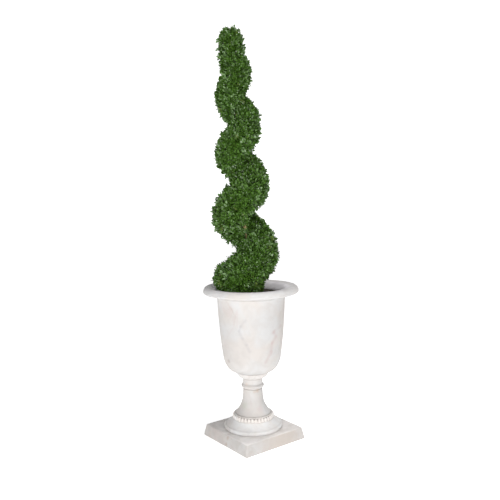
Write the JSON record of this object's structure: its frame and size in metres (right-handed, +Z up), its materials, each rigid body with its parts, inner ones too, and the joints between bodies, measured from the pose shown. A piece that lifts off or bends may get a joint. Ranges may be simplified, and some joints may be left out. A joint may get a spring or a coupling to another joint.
{
  "type": "spiral topiary in urn",
  "caption": "Clipped spiral topiary on a leaning trunk, growing from a round lipped urn with a beaded foot on a square plinth.",
  "frame": {"origin": "centre of the plinth's flat underside", "axes": "+Z up, X and Y square to the plinth's sides"},
  "size_m": [0.401, 0.401, 1.713],
  "materials": {
    "cast_stone": "smooth off-white marble with faint grey and pinkish veins",
    "earth": "dark damp potting earth",
    "bark": "brown ridged bark",
    "foliage": "small glossy evergreen leaves, clipped dense"
  },
  "bodies": {
    "root": {"plinth": "cast_stone", "foot": "cast_stone", "bead_band": "cast_stone", "stem": "cast_stone", "collar": "cast_stone", "bowl": "cast_stone", "earth": "earth", "trunk": "bark", "foliage_1": "foliage", "foliage_2": "foliage", "foliage_3": "foliage", "foliage_4": "foliage", "foliage_5": "foliage", "foliage_6": "foliage", "foliage_7": "foliage", "foliage_8": "foliage", "foliage_9": "foliage"}
  },
  "joints": []
}
